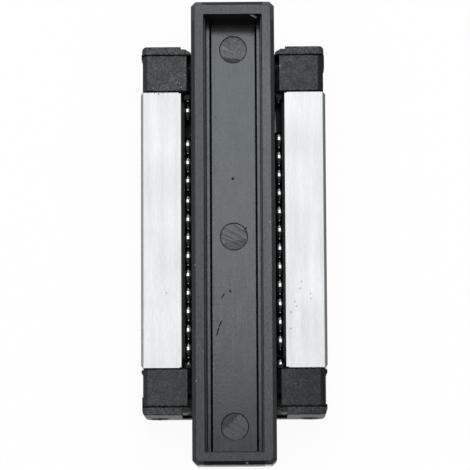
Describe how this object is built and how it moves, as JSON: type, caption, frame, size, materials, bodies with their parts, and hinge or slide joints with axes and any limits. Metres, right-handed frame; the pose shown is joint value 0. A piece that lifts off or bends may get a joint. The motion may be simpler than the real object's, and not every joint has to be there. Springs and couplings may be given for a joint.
{
  "type": "linear guide carriage on a holding rail",
  "caption": "Miniature recirculating ball carriage, underside up, with a plastic holding rail that slides through its channel and keeps its balls in.",
  "frame": {"origin": "middle of the carriage's mounting face", "axes": "+Y along the rail, +Z from the mounting face to the open underside, +X across"},
  "size_m": [0.02, 0.05, 0.01],
  "materials": {
    "ground_steel": "ground bright, with a fine lengthwise grain",
    "rail_plastic": "moulded, satin",
    "cap_plastic": "moulded, fine matt texture",
    "seal_rubber": "grainy, matt",
    "guide_plastic": "moulded, smooth",
    "retainer_plastic": "moulded, satin",
    "screw_steel": "blackened",
    "ball_steel": "polished"
  },
  "bodies": {
    "carriage": {"ball_retainer_left": "retainer_plastic", "ball_retainer_right": "retainer_plastic", "cap_screw_front_left": "screw_steel", "cap_screw_front_right": "screw_steel", "cap_screw_rear_left": "screw_steel", "cap_screw_rear_right": "screw_steel", "carriage_block": "ground_steel", "end_cap_front": "cap_plastic", "end_cap_rear": "cap_plastic", "end_seal_front": "seal_rubber", "end_seal_rear": "seal_rubber", "loaded_balls_left": "ball_steel", "loaded_balls_right": "ball_steel", "return_balls_left": "ball_steel", "return_balls_right": "ball_steel", "turn_guide_front_left": "guide_plastic", "turn_guide_front_right": "guide_plastic", "turn_guide_rear_left": "guide_plastic", "turn_guide_rear_right": "guide_plastic"},
    "rail": {"holding_rail": "rail_plastic"}
  },
  "joints": [
    {"name": "rail_slide", "type": "slide", "parent": "carriage", "child": "rail", "axis": [0, 1, 0], "range_m": [-0.044, 0.045]}
  ]
}
